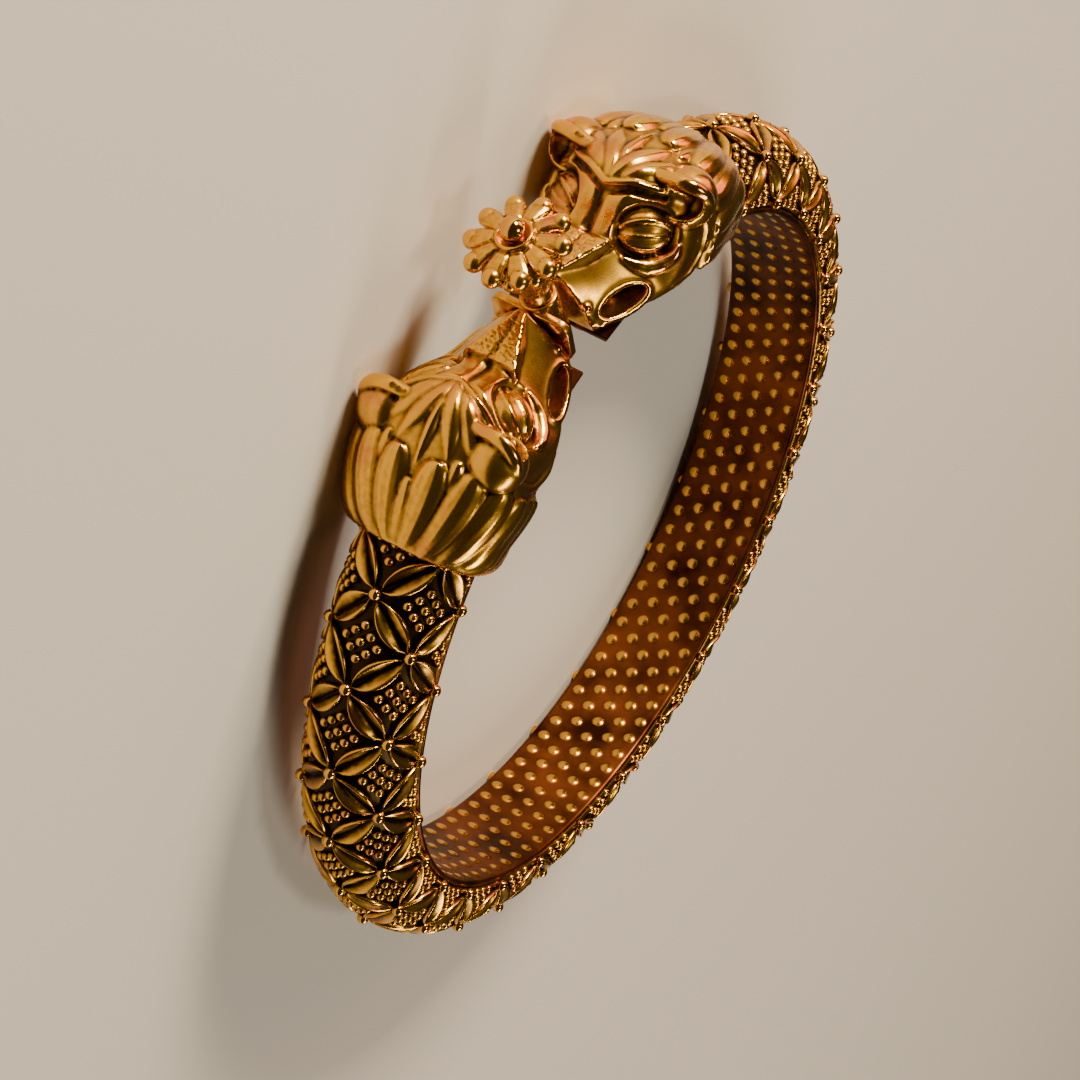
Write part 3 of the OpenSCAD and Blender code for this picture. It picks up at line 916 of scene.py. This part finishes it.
for row in TUFT:
    lock(details, row, POINTED)
for row in MANE + UNDER_MANE:
    lock(details, row, ROUND_FRONT)
hair_edge = []
for side in HAIR_EDGE_SIDES:
    angle = hairline(side) + BEHIND_HAIRLINE
    radius = HAIR_EDGE_R - HAIR_EDGE_TAPER * side
    hair_edge.append((skin(angle, over(angle, side), HAIR_RISE - HAIR_EDGE_SUNK), radius))
tube(details, hair_edge)
mirror_sides(details)
lock(details, CENTRE_TUFT, POINTED)
lock(details, CENTRE_UNDER, ROUND_FRONT)
print("the mane is laid, details have", len(details.verts), "vertices")

# %% [markdown]
# Now the second remesh joins the pressed face and everything laid on it. The
# nose plate keeps the rough skin of the casting, so its vertices are shaken a
# little. Then the recesses are marked. The right head is the left one mirrored,
# and because a mirror turns a mesh inside out, its faces are flipped back.

# %% Both heads
HEAD_VOXEL, HEAD_SMOOTHING = 0.114, 3
# How many rounds of smoothing show the hollows, and how deep a full one is
HEAD_HOLLOWS = (14, 0.13)
NOSE_FROM, NOSE_TO, NOSE_SKIN = 3.0, 10.2, 0.18
NOSE_GRAIN_MM, FINE_GRAINS_PER_MM, FINE_SHARE = 0.22, 9.7, 0.8
NOSE_ROUGHNESS = 0.05
NOSE_FOLD, FOLD_HALF_WIDTH = 0.08, 0.35


def roughen_nose(mesh):
    for vert in mesh.vertices:
        place = vert.co
        angle, distance, side = place_of(place)
        if NOSE_FROM < angle < NOSE_TO and distance > NOSE_TOP - NOSE_SKIN:
            grain = (noise.noise(place / NOSE_GRAIN_MM)
                     + noise.noise(place * FINE_GRAINS_PER_MM) * FINE_SHARE)
            fold = NOSE_FOLD * max(1 - abs(side) / FOLD_HALF_WIDTH, 0)
            vert.co = place * (1 + (grain * NOSE_ROUGHNESS - fold) / place.length)
    mesh.update()


details.from_mesh(core_mesh)
bpy.data.meshes.remove(core_mesh)
left_mesh = one_skin(mesh_from(details, "head_left_cast"), HEAD_VOXEL, HEAD_SMOOTHING)
roughen_nose(left_mesh)
mark_recesses(left_mesh, *HEAD_HOLLOWS)
right_mesh = left_mesh.copy()
right_mesh.transform(Matrix.Scale(-1, 4, (1, 0, 0)))
right_mesh.flip_normals()
finish_piece(left_mesh, "head_left_cast", head_gold, "head_left", "bangle")
finish_piece(right_mesh, "head_right_cast", head_gold, "head_right", "bangle")

# %% [markdown]
# The hoop's relief is a lattice on its rounded section. A place in it is given
# by two numbers: u counts half periods along the hoop from the first head to
# the other, and v counts rows round the section, from -2 to 2. Corners where
# u + v is odd are knots, where leaves cross. The others are open ground. All of
# it comes from the same sizes as the solid.

# %% The lattice on the hoop
INNER_R, BULGE_AT = 30.0, 1.85
BULGE_R, BULGE_Z = 4.6, 4.75
CROSSES = 22
FIRST_CROSS = 40.4
ROW_ANGLE = 50.5
GROUND = 0.6
HALF_PERIOD = (180 - FIRST_CROSS) / CROSSES
BAND_FROM = FIRST_CROSS - HALF_PERIOD
STEPS = 2 * CROSSES + 2
SQUARE_MM = 2.885


def relief(u, v, height=0.0):
    turn = radians(v * ROW_ANGLE)
    normal = Vector((cos(turn) / BULGE_R, sin(turn) / BULGE_Z)).normalized()
    return at(BAND_FROM + u * HALF_PERIOD,
              INNER_R + BULGE_AT + BULGE_R * cos(turn) + height * normal.x,
              BULGE_Z * sin(turn) + height * normal.y)


def is_knot(u, v):
    return (u + v) % 2 == 1


crest_r = INNER_R + BULGE_AT + BULGE_R
print("one half period is", round(radians(HALF_PERIOD) * crest_r, 2), "mm long")

# %% [markdown]
# The ground is one closed form: the section's outline, carried round the hoop.
# It is the dark surface between the leaves.

# %% The ground of the relief
ROUND_STEPS = 28
ALONG_STEPS = 4
# The flat inner side with its bevelled edges. Columns: distance, distance to the side
INNER_SIDE = [(SEAT + 0.35, 4.45), (SEAT, 4.2), (SEAT, -4.2), (SEAT + 0.35, -4.45)]

hoop = bmesh.new()
rings = []
for i in range(STEPS * ALONG_STEPS + 1):
    u = i / ALONG_STEPS
    ring = [relief(u, v, -GROUND) for v in np.linspace(-2, 2, ROUND_STEPS + 1)]
    ring += [at(BAND_FROM + u * HALF_PERIOD, *spot) for spot in INNER_SIDE]
    rings.append(ring)
sweep(hoop, rings)
print("the ground has", len(hoop.faces), "faces")

# %% [markdown]
# Each leaf is two lobes beside a sharp vein. A lobe is straight along the vein
# and bowed on its outer side. Its crest lies near the outer side, so the two
# lobes together are hollow like a folded leaf, and one of them catches the
# light while the other is dark.

# %% The leaves
LOBE_STEPS = 9
LOBE_WIDTH_MM = 1.08
LOBE_FROM, LOBE_LENGTH = 0.085, 0.83
LOBE_SWELL = 0.72
LOBE_DROP_MM = 0.22
VEIN_HALF_WIDTH = 0.05
LOBE_ROOT_MM = 0.1
# Columns: share of the lobe's width from the vein, height over the relief's top
LOBE_SECTION = [(0.02, -0.46), (0.32, -0.33), (0.62, -0.15), (0.84, 0.0), (0.95, -0.02),
                (1.02, -0.16), (1.05, -0.75), (0.02, -0.75)]


def lobe(bm, a, b, c):
    middle = (a + b) / 2
    to_side = (c - middle) / SQUARE_MM
    rings = []
    for i in range(LOBE_STEPS + 1):
        t = i / LOBE_STEPS
        swell = max(sin(pi * t), 0.0) ** LOBE_SWELL
        place = a.lerp(b, LOBE_FROM + LOBE_LENGTH * t)
        drop = LOBE_DROP_MM * (1 - swell)
        ring = []
        for share, height in LOBE_SECTION:
            reach = VEIN_HALF_WIDTH + share * swell * (1 - VEIN_HALF_WIDTH)
            spot = place + to_side * (LOBE_WIDTH_MM * reach)
            ring.append(relief(spot.x, spot.y, max(height, -GROUND - LOBE_ROOT_MM) - drop))
        rings.append(ring)
    sweep(bm, rings)


for u in range(STEPS):
    leaves = bmesh.new()
    for v in range(-2, 2):
        corners = [Vector((u + du, v + dv)) for du, dv in ((0, 0), (1, 0), (1, 1), (0, 1))]
        if not is_knot(u, v):
            corners = corners[1:] + corners[:1]
        for open_corner in (corners[1], corners[3]):
            lobe(leaves, corners[0], corners[2], open_corner)
    join(hoop, leaves)
print("with its leaves the hoop has", len(hoop.faces), "faces")

# %% [markdown]
# A bead sits on every knot, and nine granules in three rows fill each open
# square. They are repeated about a thousand times, so each has few faces.

# %% Beads and granules
KNOT_R, KNOT_SUNK = 0.52, 0.12
GRANULE_R, GRANULE_RISE = 0.4, 0.17
GRANULE_SPACING_MM = 1.02
# The rows beside the relief's edge get granules up to here
LAST_ROW = 2.12


def bead(bm, place, radius):
    bmesh.ops.create_icosphere(bm, subdivisions=2, radius=radius,
                               matrix=Matrix.Translation(place))


for u in range(STEPS + 1):
    beads = bmesh.new()
    for v in range(-2, 3):
        if is_knot(u, v):
            bead(beads, relief(u, v, -KNOT_SUNK), KNOT_R)
            continue
        for i in (-1, 0, 1):
            for k in (-1, 0, 1):
                step = GRANULE_SPACING_MM / (2 * SQUARE_MM)
                spot = Vector((u + (i + k) * step, v + (i - k) * step))
                if 0 <= spot.x <= STEPS and abs(spot.y) < LAST_ROW:
                    bead(beads, relief(spot.x, spot.y, GRANULE_RISE - GROUND), GRANULE_R)
    join(hoop, beads)
print("with its beads the hoop has", len(hoop.faces), "faces")

# %% [markdown]
# The hoop isn't remeshed, because its repeats are clean already. Its recess
# comes straight from the relief: how far a vertex lies below the leaves' top.

# %% The hoop as a piece
hoop_mesh = mesh_from(hoop, "band_cast")
points, _ = arrays(hoop_mesh)
reach = np.hypot((np.hypot(points[:, 0], points[:, 1]) - INNER_R - BULGE_AT) / BULGE_R,
                 points[:, 2] / BULGE_Z)
below = (1 - reach) * (BULGE_R + BULGE_Z) / 2 / GROUND
set_recess(hoop_mesh, below)
finish_piece(hoop_mesh, "band_cast", hoop_gold, "band", "bangle")

# %% [markdown]
# The lining sheet is rolled from plated sheet and runs from muzzle to muzzle.
# Its wearing side carries rows of small round studs, staggered like a honeycomb,
# which catch the light one by one. Each point of the sheet's inner side looks
# for the nearest stud and rises by that stud's height there. The same height
# makes the recess, so the studs are bright and the ground between is stained.

# %% The lining sheet
SHEET_FROM = 2.95
SHEET_OUTER_R = 30.45
SHEET_HALF_WIDTH = 4.3
SHEET_EDGE = 0.12
STUD_SPACING_MM = 1.9
STUD_R, STUD_HEIGHT, STUD_ROUNDNESS = 0.5, 0.14, 0.7
HONEYCOMB_ROW = 0.866
SHEET_STEP_MM, SHEET_ROWS = 0.16, 52


def stud(along, side):
    """How far a stud rises, from 0 to 1, at places on the unrolled sheet."""
    row_height = STUD_SPACING_MM * HONEYCOMB_ROW
    rise = np.zeros_like(along)
    for step in (-1, 0, 1):
        row = np.round(side / row_height) + step
        shift = STUD_SPACING_MM / 2 * (row % 2)
        column = np.round((along - shift) / STUD_SPACING_MM)
        spread = ((along - column * STUD_SPACING_MM - shift) ** 2
                  + (side - row * row_height) ** 2) / STUD_R ** 2
        inside = np.abs(row * row_height) < SHEET_HALF_WIDTH - STUD_R
        rise = np.maximum(rise, np.where(inside, np.clip(1 - spread, 0, 1) ** STUD_ROUNDNESS, 0))
    return rise


sheet = bmesh.new()
lengths = np.arange(0, radians(360 - 2 * SHEET_FROM) * INNER_R, SHEET_STEP_MM)
sides = np.linspace(SHEET_EDGE - SHEET_HALF_WIDTH, SHEET_HALF_WIDTH - SHEET_EDGE, SHEET_ROWS)
rises = stud(*np.meshgrid(lengths, sides, indexing="ij"))
rings = []
for length, row in zip(lengths, rises):
    angle = SHEET_FROM + degrees(length / INNER_R)
    ring = [at(angle, INNER_R - STUD_HEIGHT * rise, side) for side, rise in zip(sides, row)]
    for distance, side in ((INNER_R + SHEET_EDGE, 1), (SHEET_OUTER_R, 1), (SHEET_OUTER_R, -1),
                           (INNER_R + SHEET_EDGE, -1)):
        ring.append(at(angle, distance, side * SHEET_HALF_WIDTH))
    rings.append(ring)
sweep(sheet, rings)
sheet_mesh = mesh_from(sheet, "inner_liner_rolled")
points, _ = arrays(sheet_mesh)
depth = np.hypot(points[:, 0], points[:, 1]) - INNER_R + STUD_HEIGHT
set_recess(sheet_mesh, depth / STUD_HEIGHT)
print("the sheet has", len(sheet_mesh.polygons), "faces")

# %% [markdown]
# The wrist wears the sheet: it is duller than the relief, brown with a red
# tone, and darkest where stains gather over several millimetres.

# %% The lining sheet's finish
STUD_GOLD = "#E0A63E"
LINING = "#7A4220"
LINING_DARK = "#2E140A"
STAIN_MM, STAIN_DETAIL = 5.0, 4.0
STAINED_TO, CLEAN_FROM = 0.35, 0.65
WEAR_TO, GROUND_FROM = 0.45, 0.90
STUD_SHINE, GROUND_SHINE = (0.4, 0.2), (1.0, 0.4)


def worn_sheet():
    material, tree, shader, place, recess = metal("worn gold-plated sheet")
    stains = add_node(tree, "ShaderNodeTexNoise", inputs={
        "Vector": place, "Scale": per_metre(STAIN_MM), "Detail": STAIN_DETAIL})
    ground = add_node(tree, "ShaderNodeValToRGB", inputs={"Fac": stains.outputs["Fac"]},
                      stops=[(STAINED_TO, colour(LINING_DARK)), (CLEAN_FROM, colour(LINING))])
    worn_off = add_node(tree, "ShaderNodeValToRGB", inputs={"Fac": recess},
                        stops=[(WEAR_TO, grey(0)), (GROUND_FROM, grey(1))])
    mixed = add_node(tree, "ShaderNodeMix", {"data_type": "RGBA"},
                     {0: worn_off.outputs["Color"], 6: colour(STUD_GOLD),
                      7: ground.outputs["Color"]})
    rough = add_node(tree, "ShaderNodeValToRGB", inputs={"Fac": recess},
                     stops=[(share, grey(value)) for share, value in (STUD_SHINE, GROUND_SHINE)])
    tree.links.new(mixed.outputs[2], shader.inputs["Base Color"])
    tree.links.new(rough.outputs["Color"], shader.inputs["Roughness"])
    return material


finish_piece(sheet_mesh, "inner_liner_rolled", worn_sheet(), "inner_liner", "bangle")

# %% [markdown]
# The screw is turned on a lathe, and so are its parts here: an outline of a few
# points is spun round an axis. The screw's axis is given by its lean and the barrel's mouth.
# The maker draws along that axis with 0 at the mouth of the barrel.

# %% Turning on the screw's axis
SCREW_LEAN = 8.6
BARREL_TOP = 35.5
ALONG_SCREW = (Matrix.Translation((0, -BARREL_TOP, 0))
               @ Matrix.Rotation(radians(90 + SCREW_LEAN), 4, "X"))
TURNED_STEPS = 72


def turned(bm, outline, closed=False):
    verts = [bm.verts.new((radius, 0, height)) for radius, height in outline]
    edges = [bm.edges.new(pair) for pair in zip(verts, verts[1:])]
    if closed:
        edges.append(bm.edges.new((verts[-1], verts[0])))
    bmesh.ops.spin(bm, geom=verts + edges, axis=(0, 0, 1), cent=(0, 0, 0), angle=2 * pi,
                   steps=TURNED_STEPS, use_merge=True, use_duplicate=False)
    bmesh.ops.remove_doubles(bm, verts=bm.verts[:], dist=SAME_PLACE_MM)
    bmesh.ops.recalc_face_normals(bm, faces=bm.faces[:])


print("lathe ready")

# %% [markdown]
# The barrel is a short tube with rounded rims, soldered to a thin plate that
# closes the left muzzle. The plate is filed flat and its edges are broken.

# %% Barrel and end plate
BARREL_R, BORE_R = 1.45, 0.8
BARREL_L = 4.85
RIM = 0.16
BARREL = [(BORE_R, -RIM), (BORE_R + 0.08, -0.03), (BORE_R + 0.2, 0), (BARREL_R - RIM, 0),
          (BARREL_R - 0.05, -0.05), (BARREL_R, -RIM), (BARREL_R, -BARREL_L), (BORE_R, -BARREL_L)]
PLATE_T, PLATE_H, PLATE_W = 0.65, 4.6, 6.8
CORNER_R, FILED_EDGE = 1.1, 0.1
CORNER_STEPS, EDGE_STEPS = 6, 3
SHARP, FLAT = radians(60), 0.01
LUG_RECESS = 0.3

lug = bmesh.new()
turned(lug, BARREL, closed=True)
bmesh.ops.transform(lug, matrix=ALONG_SCREW, verts=lug.verts[:])
plate_place = Matrix.Translation((BARREL_R - PLATE_T / 2, -SEAT - PLATE_H / 2, 0))
plate = bmesh.ops.create_cube(lug, size=1, matrix=plate_place @ Matrix.Diagonal(
    (PLATE_T, PLATE_H, PLATE_W, 1)))["verts"]
corner_edges = [e for e in {e for v in plate for e in v.link_edges}
                if abs(e.verts[0].co.x - e.verts[1].co.x) > PLATE_T / 2]
bmesh.ops.bevel(lug, geom=corner_edges, offset=CORNER_R, segments=CORNER_STEPS, profile=0.5,
                affect="EDGES", material=-1)
plate_faces = [f for f in lug.faces if abs(abs(f.normal.x) - 1) < FLAT
               and abs(f.calc_center_median().x - BARREL_R + PLATE_T / 2) < PLATE_T]
rim_edges = list({e for f in plate_faces for e in f.edges if e.calc_face_angle(0) > SHARP})
bmesh.ops.bevel(lug, geom=rim_edges, offset=FILED_EDGE, segments=EDGE_STEPS, profile=0.5,
                affect="EDGES", material=-1)
lug_mesh = mesh_from(lug, "clasp_lug_cast")
set_recess(lug_mesh, np.full(len(lug_mesh.vertices), LUG_RECESS))
finish_piece(lug_mesh, "clasp_lug_cast", head_gold, "clasp_lug", "bangle")

# %% [markdown]
# The shank carries a thread. A round strip of wax wound along a helix and sunk
# half into a core gives it, and one remesh joins both.

# %% The threaded shank
SHANK_R, SHANK_L = 0.66, 4.6
SHANK_TIP = 0.25
SHANK_TOP = 0.05
PITCH = 0.7
THREAD_R, THREAD_AT = 0.16, 0.6
THREAD_STEPS, THREAD_CORNERS = 20, 8
THREAD_FROM, THREAD_SHORTER = 0.15, 0.5
SHANK_VOXEL, SHANK_HOLLOWS = 0.05, (8, 0.08)

shank = bmesh.new()
turned(shank, [(0, SHANK_TOP), (SHANK_R, SHANK_TOP), (SHANK_R, SHANK_TIP - SHANK_L),
               (SHANK_R - SHANK_TIP, -SHANK_L), (0, -SHANK_L)])
helix = []
for i in range(int((SHANK_L - THREAD_SHORTER) / PITCH * THREAD_STEPS)):
    turn = 2 * pi * i / THREAD_STEPS
    helix.append((Vector((THREAD_AT * cos(turn), THREAD_AT * sin(turn),
                          -THREAD_FROM - PITCH * i / THREAD_STEPS)), THREAD_R))
tube(shank, helix, THREAD_CORNERS)
shank_mesh = one_skin(mesh_from(shank, "screw_shank"), SHANK_VOXEL, 1)
shank_mesh.transform(ALONG_SCREW)
mark_recesses(shank_mesh, *SHANK_HOLLOWS)
finish_piece(shank_mesh, "screw_shank", head_gold, "screw_pin", "shank")

# %% [markdown]
# The flower is the screw's head. A turned core gives its calyx, its cup and the
# collar round the bead. Ten petals lie on it: each is a broad round rib that
# slopes down a little from the collar and ends in a knob. A second tier of
# smaller knobs shows between and under them. One remesh joins them all.

# %% The flower
PETALS = 10
FLOWER_VOXEL, FLOWER_HOLLOWS = 0.075, (14, 0.16)
# Columns: radius, height over the mouth of the barrel
FLOWER_CORE = [(0, 0.15), (1.25, 0.15), (1.25, 1.1), (2.3, 3.9), (2.6, 4.7), (2.9, 5.3),
               (3.15, 5.85), (2.9, 6.25), (2.2, 6.55), (1.52, 6.75), (1.48, 7.25), (1.40, 7.36),
               (1.26, 7.36), (1.16, 7.25), (0.8, 6.95), (0, 6.9)]
# Columns: distance from the axis, height of the rib's middle, half width, half height
PETAL = [(1.35, 6.80, 0.42, 0.12), (1.8, 6.78, 0.56, 0.30), (2.4, 6.62, 0.72, 0.42),
         (3.0, 6.42, 0.85, 0.48), (3.45, 6.25, 0.85, 0.48), (3.75, 6.15, 0.60, 0.36)]
# Columns: distance from the axis, height, radius, share of a petal to the side
KNOBS = [(3.42, 6.2, 0.78, 0.0), (2.95, 5.2, 0.60, 0.5)]
# As PETAL, for the ribs under the gaps between the petals
LOWER_RIB = [(1.8, 2.6, 0.18, 0.14), (2.2, 3.4, 0.34, 0.28), (2.55, 4.2, 0.46, 0.36),
             (2.8, 4.8, 0.50, 0.40), (2.95, 5.2, 0.40, 0.32)]


def rib(bm, rows, turn, corners=12):
    out = Vector((cos(turn), sin(turn), 0))
    side = Vector((-sin(turn), cos(turn), 0))
    rings = []
    for k, (reach, height, half_width, half_height) in enumerate(rows):
        before, after = rows[max(k - 1, 0)], rows[min(k + 1, len(rows) - 1)]
        along = (out * (after[0] - before[0]) + Vector((0, 0, after[1] - before[1]))).normalized()
        up = side.cross(along).normalized()
        if up.z < 0:
            up = -up
        centre = out * reach + Vector((0, 0, height))
        rings.append(ring_at(centre, side, up, half_width, half_height, corners))
    sweep(bm, rings)


flower = bmesh.new()
turned(flower, FLOWER_CORE)
for i in range(PETALS):
    rib(flower, PETAL, 2 * pi * i / PETALS)
    rib(flower, LOWER_RIB, 2 * pi * (i + 0.5) / PETALS)
    for reach, height, radius, step in KNOBS:
        turn = 2 * pi * (i + step) / PETALS
        ball(flower, (reach * cos(turn), reach * sin(turn), height), radius)
flower_mesh = one_skin(mesh_from(flower, "flower_cast"), FLOWER_VOXEL, 2)
mark_recesses(flower_mesh, *FLOWER_HOLLOWS)
flower_mesh.transform(ALONG_SCREW)
finish_piece(flower_mesh, "flower_cast", head_gold, "flower", "flower")

# %% [markdown]
# The bead in the flower's cup is a polished ball on a short foot. It mirrors
# the whole studio, so it gets many faces and no recess.

# %% The flower's bead
BEAD_R, BEAD_AT, BEAD_SEGMENTS = 0.95, 43.3, 64
ball_form = bmesh.new()
ball(ball_form, (0, 0, BEAD_AT - BARREL_TOP), BEAD_R, BEAD_SEGMENTS)
bead_mesh = mesh_from(ball_form, "flower_bead_polished")
bead_mesh.transform(ALONG_SCREW)
set_recess(bead_mesh, np.zeros(len(bead_mesh.vertices)))
finish_piece(bead_mesh, "flower_bead_polished", head_gold, "flower_bead", "flower")

# %% [markdown]
# The stage is a plain pale floor. Gold shows what it mirrors, so the room is
# dark and the light comes from panels. The key stands low at the left, where
# the photo's light comes from. A wide rosy one beside it gives the coppery sheen
# next to each highlight, and a strip behind draws bright lines on the far side.

# %% Floor and lights
FLOOR_COLOUR, FLOOR_HALF_M = "#D9D5CE", 1.5
FLOOR_ROUGHNESS, FLOOR_SPECULAR = 0.9, 0.2
ROOM_COLOUR, ROOM_STRENGTH = "#8C8984", 0.13
AIMED_AT = (0, -0.02, 0.006)
# Columns: name, place and size in metres, watts, colour
PANELS = [
    ("key", (-0.33, -0.38, 0.19), (0.15, 0.12), 6.0, "#FFEBC6"),
    ("rosy fill", (-0.60, -0.10, 0.30), (0.40, 0.30), 1.2, "#FFA583"),
    ("strip", (0.30, 0.40, 0.45), (0.10, 0.50), 2.4, "#FFF2DA"),
    ("top", (-0.05, -0.15, 0.75), (0.16, 0.16), 1.3, "#FFF2DA"),
]


def floor():
    bm = bmesh.new()
    bmesh.ops.create_grid(bm, x_segments=1, y_segments=1, size=FLOOR_HALF_M)
    mesh = mesh_from(bm, "floor")
    material = bpy.data.materials.new("matt paper floor")
    material.use_nodes = True
    shader = material.node_tree.nodes["Principled BSDF"]
    shader.inputs["Base Color"].default_value = colour(FLOOR_COLOUR)
    shader.inputs["Roughness"].default_value = FLOOR_ROUGHNESS
    shader.inputs["Specular IOR Level"].default_value = FLOOR_SPECULAR
    mesh.materials.append(material)
    piece = add_object("floor", mesh)


def panel(name, place, size, watts, tint):
    data = bpy.data.lights.new(name, "AREA")
    data.shape = "RECTANGLE"
    data.size, data.size_y = size
    data.energy = watts
    data.color = colour(tint)[:3]
    lamp = add_object(name, data)
    lamp.location = place
    aim = Vector(AIMED_AT) - Vector(place)
    lamp.rotation_euler = aim.to_track_quat("-Z", "Y").to_euler()


floor()
for row in PANELS:
    panel(*row)
world = bpy.data.worlds.new("studio")
bpy.context.scene.world = world
world.use_nodes = True
room = world.node_tree.nodes["Background"]
room.inputs["Color"].default_value = colour(ROOM_COLOUR)
room.inputs["Strength"].default_value = ROOM_STRENGTH
